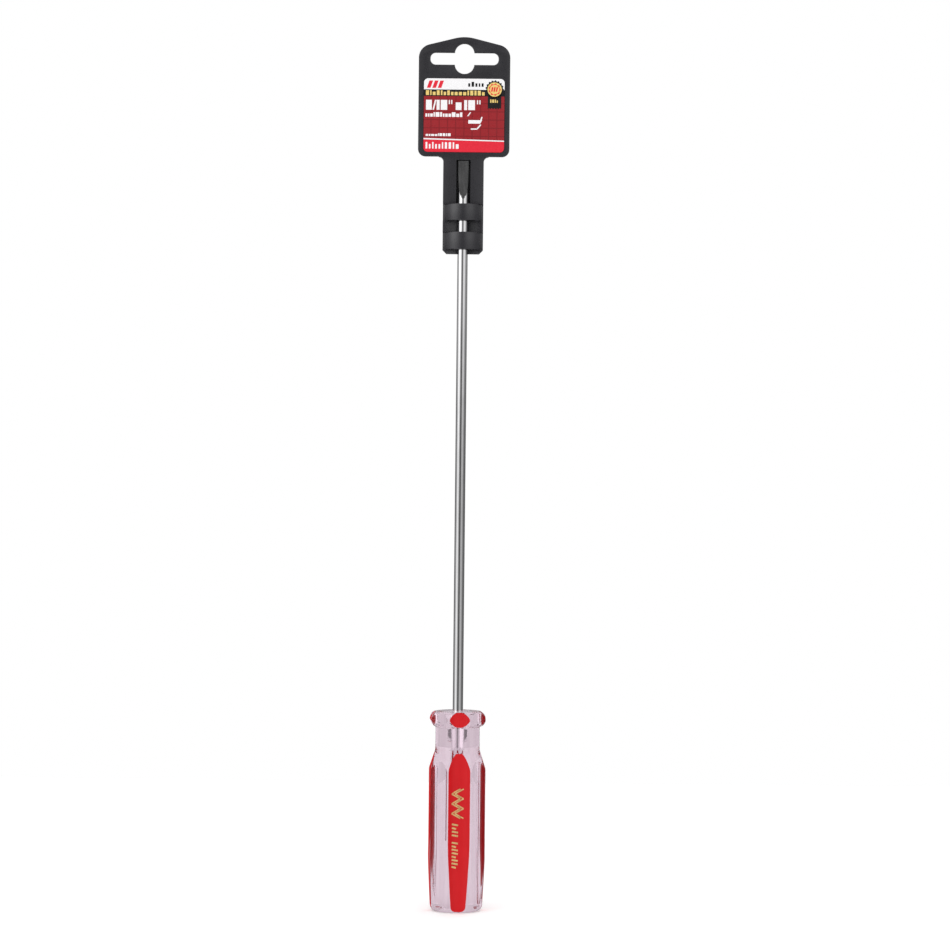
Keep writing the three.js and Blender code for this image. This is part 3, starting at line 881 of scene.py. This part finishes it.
def red_ink():
    """The foot, three leaning bars in the head, and a ring with three small bars in the badge."""
    x, top = BADGE
    foot = (
        arc((RIGHT - LABEL_CORNER, LABEL_LOW.z + LABEL_CORNER), LABEL_CORNER, -QUARTER, 0, 8)
        + [(RIGHT, FOOT_RIGHT), (LEFT, FOOT_LEFT)]
        + arc((LEFT + LABEL_CORNER, LABEL_LOW.z + LABEL_CORNER), LABEL_CORNER, pi, 3 * QUARTER, 8)
    )
    tall, small = (HEAD_LOW + 0.7, LABEL_HIGH.z - 1.0), (top - 1.0, top + 1.1)
    inks = [(foot, 1), (ring_outline(BADGE, 2.85, 9, 0.5), 5)]
    inks += at_level(2, [ink_bar(LEFT + 1.3 + 2.5 * i, 1.7, *tall, 1.2) for i in range(3)])
    return inks + at_level(7, [ink_bar(x - 1.7 + 1.1 * i, 0.7, *small, 0.4) for i in range(3)])


def make_label():
    outline = rectangle(LABEL_LOW.x, LABEL_HIGH.x, LABEL_LOW.z, LABEL_HIGH.z, [LABEL_CORNER] * 4)
    return rounded_slab("label_film", [outline], LABEL_LOW.y, LABEL_HIGH.y, 0.04)


def on_front_flute(u, z, lift):
    """A point on the front flute's paint, u to the right of its middle."""
    cutter = FLUTE_RADIUS - FOIL_LIFT * lift
    reach = flute_distance(z) - sqrt(cutter**2 - u**2)
    turn = radians(FLUTES["front"]) + HANDLE_TURN
    return (reach * cos(turn) - u * sin(turn), reach * sin(turn) + u * cos(turn), z)


ZIGZAG_TURNS = 6
ZIGZAG_SHIFT = 1.5  # between the two lines of the zigzag
DASHES = {"middle": 4, "lower": 8}


def foil_strokes():
    """The generic gold marks on the front flute: centre lines in (u, z), with a width each."""
    left, right, low, high = FOIL_MARKS["upper"]
    strokes = {"upper": []}
    for shift in (0, ZIGZAG_SHIFT):
        ends = (right - 1.8 + shift, left + 0.3 + shift)
        drop = (high - low - 1) / ZIGZAG_TURNS
        corners = [(ends[i % 2], high - 0.5 - drop * i) for i in range(ZIGZAG_TURNS + 1)]
        strokes["upper"] += [(line_between(a, b), 0.6) for a, b in zip(corners, corners[1:])]
    for name, count in DASHES.items():
        left, right, low, high = FOIL_MARKS[name]
        pitch = (high - low) / count
        strokes[name] = []
        for i in range(count):
            z = high - pitch * (i + 0.5)
            short = 0.9 if i % 3 == 1 else 0
            dash = line_between((left + 0.2, z + 0.3), (right - 0.2 - short, z - 0.3))
            strokes[name].append((dash, 0.8))
    return strokes


def make_foil(name, strokes):
    shapes = [ribbon(line, width, on_front_flute) for line, width in strokes]
    return joined(name, shapes)


# ---------------------------------------------------------------- materials
def new_material(name):
    """A material, its node tree and its shader."""
    material = bpy.data.materials.new(name)
    material.use_nodes = True
    return material, material.node_tree, material.node_tree.nodes["Principled BSDF"]


def add_node(tree, kind, inputs=(), **properties):
    """A node with properties set, and inputs given as {name or number: value or output socket}."""
    made = tree.nodes.new(kind)
    for key, value in properties.items():
        setattr(made, key, value)
    for key, value in dict(inputs).items():
        if isinstance(value, bpy.types.NodeSocket):
            tree.links.new(value, made.inputs[key])
        else:
            made.inputs[key].default_value = value
    return made


def feed(tree, shader, **values):
    """Links values to the shader's sockets, named with _ for a space."""
    for name, value in values.items():
        tree.links.new(value, shader.inputs[name.replace("_", " ")])


def place_mm(tree, stretch=(1, 1, 1)):
    """The point on the piece in millimetres, stretched along an axis by a factor under 1."""
    where = add_node(tree, "ShaderNodeTexCoord").outputs["Object"]
    scale = [s / MM for s in stretch]
    return add_node(tree, "ShaderNodeMapping", {"Vector": where, "Scale": scale}).outputs[0]


def noise(tree, per_mm, detail=3, stretch=(1, 1, 1)):
    """Noise from 0 to 1 with so many cells in a millimetre."""
    inputs = {"Vector": place_mm(tree, stretch), "Scale": per_mm, "Detail": detail}
    return add_node(tree, "ShaderNodeTexNoise", inputs).outputs["Fac"]


def span(tree, value, low, high, start=0.3, end=0.7):
    """A value that goes from low to high as the input goes from start to end."""
    inputs = {"Value": value, "From Min": start, "From Max": end, "To Min": low, "To Max": high}
    return add_node(tree, "ShaderNodeMapRange", inputs).outputs["Result"]


def calculate(tree, operation, first, second):
    return add_node(tree, "ShaderNodeMath", {0: first, 1: second}, operation=operation).outputs[0]


def blend_colours(tree, factor, first, second):
    """From the first colour to the second as the factor goes from 0 to 1."""
    made = add_node(tree, "ShaderNodeMix", data_type="RGBA")
    for socket, value in ((0, factor), (6, first), (7, second)):
        if isinstance(value, bpy.types.NodeSocket):
            tree.links.new(value, made.inputs[socket])
        elif socket == 0:
            made.inputs[socket].default_value = value
        else:
            made.inputs[socket].default_value = (*value, 1)
    return made.outputs[2]


def bump(tree, height, depth_mm, before=None):
    """A bump whose height of 1 stands depth_mm out of the surface."""
    inputs = {"Height": height, "Distance": depth_mm * MM, "Strength": 1}
    if before is not None:
        inputs["Normal"] = before
    return add_node(tree, "ShaderNodeBump", inputs).outputs["Normal"]


def acetate():
    """Clear extruded plastic with faint lengthwise flow lines and a polished skin."""
    material, tree, shader = new_material("clear_acetate")
    flow = noise(tree, 1.2, 4, (1, 1, 0.03))
    tint = blend_colours(tree, span(tree, flow, 0, 1), (0.6, 0.475, 0.55), (0.68, 0.56, 0.63))
    polish = span(tree, noise(tree, 0.5), 0.015, 0.05)
    waves = bump(tree, noise(tree, 0.16, 2, (1, 1, 0.25)), 0.05)
    feed(tree, shader, Base_Color=tint, Roughness=polish, Normal=waves)
    shader.inputs["Transmission Weight"].default_value = 1
    shader.inputs["IOR"].default_value = 1.25
    return material


def paint():
    """Red lacquer wiped into the flutes: slightly mottled, with a soft orange peel."""
    material, tree, shader = new_material("red_paint")
    mottle = span(tree, noise(tree, 0.12, 3), 0, 1, 0.2, 0.8)
    red = blend_colours(tree, mottle, (0.56, 0.006, 0.010), (0.62, 0.009, 0.014))
    gloss = span(tree, noise(tree, 0.5), 0.3, 0.38)
    peel = bump(tree, noise(tree, 0.7, 2), 0.01)
    feed(tree, shader, Base_Color=red, Roughness=gloss, Normal=peel)
    shader.inputs["Specular IOR Level"].default_value = 0.2
    return material


def foil():
    """Hot-stamped gold foil, worn thin in specks."""
    material, tree, shader = new_material("gold_foil")
    worn = span(tree, noise(tree, 2.2, 4), 0, 1, 0.45, 0.75)
    gold = blend_colours(tree, worn, (0.9, 0.66, 0.28), (0.68, 0.36, 0.15))
    gloss = span(tree, noise(tree, 1.3), 0.25, 0.5)
    creases = bump(tree, noise(tree, 3, 2), 0.01)
    feed(tree, shader, Base_Color=gold, Roughness=gloss, Normal=creases)
    shader.inputs["Metallic"].default_value = 0.6
    return material


def chrome():
    """Bright chrome over a drawn bar: fine lengthwise lines, and cross lines where the tip is ground."""
    material, tree, shader = new_material("chrome_steel")
    stain = span(tree, noise(tree, 0.12, 4, (1, 1, 0.3)), 0, 1)
    plate = blend_colours(tree, stain, (0.78, 0.775, 0.785), (0.88, 0.88, 0.89))
    polish = span(tree, noise(tree, 0.9, 5, (1, 1, 0.2)), 0.05, 0.14)
    drawn = noise(tree, 2.4, 3, (1, 1, 0.015))
    ground = noise(tree, 5, 3, (0.05, 1, 1))
    height = add_node(tree, "ShaderNodeSeparateXYZ", {0: place_mm(tree)}).outputs["Z"]
    tip_low = TIP_Z - TIP_PARALLEL - GROUND_LENGTH
    at_tip = span(tree, height, 0, 1, tip_low, tip_low + 3)
    lines = add_node(tree, "ShaderNodeMix", {0: at_tip, 2: drawn, 3: ground}).outputs[0]
    ripple = bump(tree, noise(tree, 0.05, 2), 0.03)
    feed(tree, shader, Base_Color=plate, Roughness=polish, Normal=bump(tree, lines, 0.0025, ripple))
    shader.inputs["Metallic"].default_value = 1
    return material


def moulded_black():
    """Black plastic from a spark-eroded mould: a fine grain, a slightly wavy face and uneven gloss."""
    material, tree, shader = new_material("black_plastic")
    shade = span(tree, noise(tree, 0.06, 4), 0, 1)
    black = blend_colours(tree, shade, (0.021, 0.020, 0.024), (0.029, 0.028, 0.033))
    gloss = span(tree, noise(tree, 0.5, 4), 0.25, 0.33)
    grain = bump(tree, noise(tree, 3.2, 2), 0.018)
    sink = bump(tree, noise(tree, 0.05, 2), 0.08, grain)
    feed(tree, shader, Base_Color=black, Roughness=gloss, Normal=sink)
    shader.inputs["Specular IOR Level"].default_value = 0.75
    return material


GRID_HALF_PITCH = 1.9  # half the distance between two of the label's grid lines


def label_field():
    """The label's dark red ground, printed with a grid of slightly darker lines."""
    material, tree, shader = new_material("label_ground")
    x, _, z = add_node(tree, "ShaderNodeSeparateXYZ", {0: place_mm(tree)}).outputs
    waves = [calculate(tree, "PINGPONG", value, GRID_HALF_PITCH) for value in (x, z)]
    grid = calculate(tree, "MAXIMUM", *(span(tree, wave, 1, 0, 0.1, 0.35) for wave in waves))
    cover = span(tree, noise(tree, 0.05, 1), 0, 1)
    shade = blend_colours(tree, cover, (0.29, 0.013, 0.019), (0.34, 0.017, 0.023))
    darker = blend_colours(tree, 0.45, shade, (0.12, 0.006, 0.01))
    gloss = span(tree, noise(tree, 0.7, 3), 0.26, 0.36)
    waviness = bump(tree, noise(tree, 0.09, 2), 0.03)
    ground = blend_colours(tree, grid, shade, darker)
    feed(tree, shader, Base_Color=ground, Roughness=gloss, Normal=waviness)
    shader.inputs["Specular IOR Level"].default_value = 0.3
    return material


def print_ink(name, thin, full):
    """Printing ink that lies a little unevenly, between a thin and a full colour."""
    material, tree, shader = new_material(name)
    cover = span(tree, noise(tree, 1.4, 4), 0, 1)
    colour = blend_colours(tree, cover, thin, full)
    gloss = span(tree, noise(tree, 0.9, 3), 0.28, 0.42)
    grain = bump(tree, noise(tree, 2.5, 2), 0.004)
    feed(tree, shader, Base_Color=colour, Roughness=gloss, Normal=grain)
    shader.inputs["Specular IOR Level"].default_value = 0.3
    return material


# ---------------------------------------------------------------- the pieces, dressed
def add_driver():
    clear, red, gold, steel = acetate(), paint(), foil(), chrome()
    collar_low = HANDLE_TOP - COLLAR_HEIGHT
    dress(make_handle(), "driver", clear, ["handle_body"])
    dress(make_blade(), "driver", steel, ["blade"])
    for side in PAINTED:
        stripe = make_paint(f"red_flute_{side}", FLUTES[side], 0, collar_low - COLLAR_FILLET)
        dress(stripe, "driver", red, [f"flute_paint_{side}"])
        spot = make_paint(f"red_collar_{side}", FLUTES[side], collar_low, HANDLE_TOP, oval=True)
        dress(spot, "driver", red, [f"collar_paint_{side}"])
    for place, strokes in foil_strokes().items():
        marks = make_foil(f"gold_marks_{place}", strokes)
        dress(marks, "driver", gold, [f"foil_mark_{place}"])


def add_hanger():
    dress(make_hanger(), "hanger", moulded_black(), ["hanger_body"])
    dress(make_label(), "hanger", label_field(), ["hanger_label"])
    inks = {
        "white": (white_ink(), (0.86, 0.85, 0.86), (0.92, 0.91, 0.92)),
        "black": (black_ink(), (0.012, 0.012, 0.013), (0.02, 0.019, 0.02)),
        "gold": (gold_ink(), (0.75, 0.5, 0.12), (0.88, 0.68, 0.25)),
        "red": (red_ink(), (0.72, 0.014, 0.035), (0.8, 0.02, 0.045)),
    }
    for colour, (patches, thin, full) in inks.items():
        material = print_ink(f"{colour}_ink", thin, full)
        things = [ink(outline, level) for outline, level in patches]
        dress(merged(f"label_{colour}_print", things), "hanger", material)


add_driver()
add_hanger()


# ---------------------------------------------------------------- studio
# Brightness round the room, by the angle in degrees to the right of the front.
SOFT_ROOM = (  # what lights matt surfaces
    (-180, 1.0),
    (-130, 0.7),
    (-90, 0.45),
    (-50, 0.9),
    (0, 1.1),
    (50, 0.85),
    (90, 0.45),
    (130, 0.7),
    (180, 1.0),
)
CLEAR_ROOM = (  # what shows through the clear plastic
    (-180, 1.0),
    (-150, 0.95),
    (-110, 1.3),
    (-60, 1.6),
    (-20, 1.0),
    (0, 0.3),
    (20, 1.0),
    (60, 1.9),
    (110, 1.6),
    (150, 0.9),
    (180, 1.0),
)
MIRROR_ROOM = (  # what glossy surfaces reflect
    (-180, 0.2),
    (-150, 0.15),
    (-122, 0.14),
    (-86, 0.37),
    (-62, 0.95),
    (-44, 0.9),
    (-22, 0.3),
    (-8, 0.1),
    (0, 0.03),
    (8, 0.1),
    (26, 0.45),
    (40, 0.5),
    (58, 0.4),
    (80, 0.15),
    (150, 0.12),
    (180, 0.2),
)


MIRROR_RISE = 1.9  # how much brighter reflections are above eye level
MIRROR_STEP = (0.02, 0.065)  # sines of the angles above the level between which they grow brighter


def room_light(tree, around, walls):
    """The light from a direction, whose turn goes from 0 at the back through 0.5 in front to 1."""
    room = add_node(tree, "ShaderNodeValToRGB", {0: around})
    stops = room.color_ramp.elements
    while len(stops) > 1:
        stops.remove(stops[-1])
    for i, (angle, value) in enumerate(walls):
        stop = stops[0] if i == 0 else stops.new((angle + 180) / 360)
        stop.position = (angle + 180) / 360
        stop.color = (value, value, value, 1)
    return room.outputs["Color"]


def make_world():
    """White to the camera; soft light, clear things and reflections each see a room of their own."""
    world = bpy.data.worlds.new("studio")
    bpy.context.scene.world = world
    world.use_nodes = True
    tree = world.node_tree
    direction = add_node(tree, "ShaderNodeTexCoord").outputs["Generated"]
    x, y, z = add_node(tree, "ShaderNodeSeparateXYZ", {0: direction}).outputs
    front = calculate(tree, "MULTIPLY", y, -1.0)
    turn = calculate(tree, "ARCTAN2", x, front)
    around = span(tree, turn, 0, 1, -pi, pi)
    path = add_node(tree, "ShaderNodeLightPath")
    mirror = room_light(tree, around, MIRROR_ROOM)
    higher = span(tree, z, 1, MIRROR_RISE, *MIRROR_STEP)
    brighter = add_node(tree, "ShaderNodeVectorMath", {0: mirror, "Scale": higher}, operation="SCALE")
    light = room_light(tree, around, SOFT_ROOM)
    light = blend_colours(tree, path.outputs["Is Glossy Ray"], light, brighter.outputs[0])
    clear = room_light(tree, around, CLEAR_ROOM)
    light = blend_colours(tree, path.outputs["Is Transmission Ray"], light, clear)
    light = blend_colours(tree, path.outputs["Is Camera Ray"], light, (1, 1, 1))
    tree.links.new(light, tree.nodes["Background"].inputs["Color"])


def area_light(name, place, aim, size, power):
    """A softbox that lights matt surfaces only, size and place in metres."""
    data = bpy.data.lights.new(name, "AREA")
    data.shape = "RECTANGLE"
    data.size, data.size_y = size
    data.energy = power
    light = bpy.data.objects.new(name, data)
    bpy.context.scene.collection.objects.link(light)
    light.location = place
    light.visible_camera = False
    light.visible_glossy = False
    light.visible_transmission = False
    light.rotation_euler = (Vector(aim) - Vector(place)).to_track_quat("-Z", "Y").to_euler()


def make_lights():
    middle = (0, 0, 0.2)
    area_light("left_softbox", (-1.0, -0.8, 0.4), middle, (0.5, 0.9), 1.2)
    area_light("right_softbox", (0.9, -1.0, 0.3), middle, (0.4, 0.8), 0.8)
    area_light("back_softbox", (0.7, 1.1, 0.5), middle, (0.6, 0.8), 2)
    area_light("top_softbox", (0, -0.4, 1.4), middle, (0.8, 0.8), 2)


def make_floor():
    half = 0.6
    corners = [(-half, -half), (half, -half), (half, half), (-half, half)]
    floor = mesh_object("floor", [(x / MM, y / MM, -0.02) for x, y in corners], [(0, 1, 2, 3)])
    material, tree, shader = new_material("floor_white")
    patches = span(tree, noise(tree, 0.02, 3), 0, 1)
    tone = blend_colours(tree, patches, (0.93, 0.93, 0.93), (0.96, 0.96, 0.96))
    feed(tree, shader, Base_Color=tone)
    shader.inputs["Roughness"].default_value = 0.9
    shader.inputs["Specular IOR Level"].default_value = 0.1
    shader.inputs["Emission Color"].default_value = (1, 1, 1, 1)
    shader.inputs["Emission Strength"].default_value = 0.25
    floor.data.materials.append(material)
    floor.visible_glossy = False


CAMERA_PLACE = (0.0068, -1.45, 0.201)
CAMERA_ROLL = radians(0.6)


def make_camera():
    data = bpy.data.cameras.new("camera")
    data.lens = 119
    data.sensor_width = 36
    camera = bpy.data.objects.new("camera", data)
    bpy.context.scene.collection.objects.link(camera)
    upright = Matrix.Rotation(pi / 2, 4, "X") @ Matrix.Rotation(CAMERA_ROLL, 4, "Z")
    camera.matrix_world = Matrix.Translation(CAMERA_PLACE) @ upright
    bpy.context.scene.camera = camera


bpy.context.scene.view_settings.view_transform = "Standard"
make_world()
make_lights()
make_floor()
make_camera()
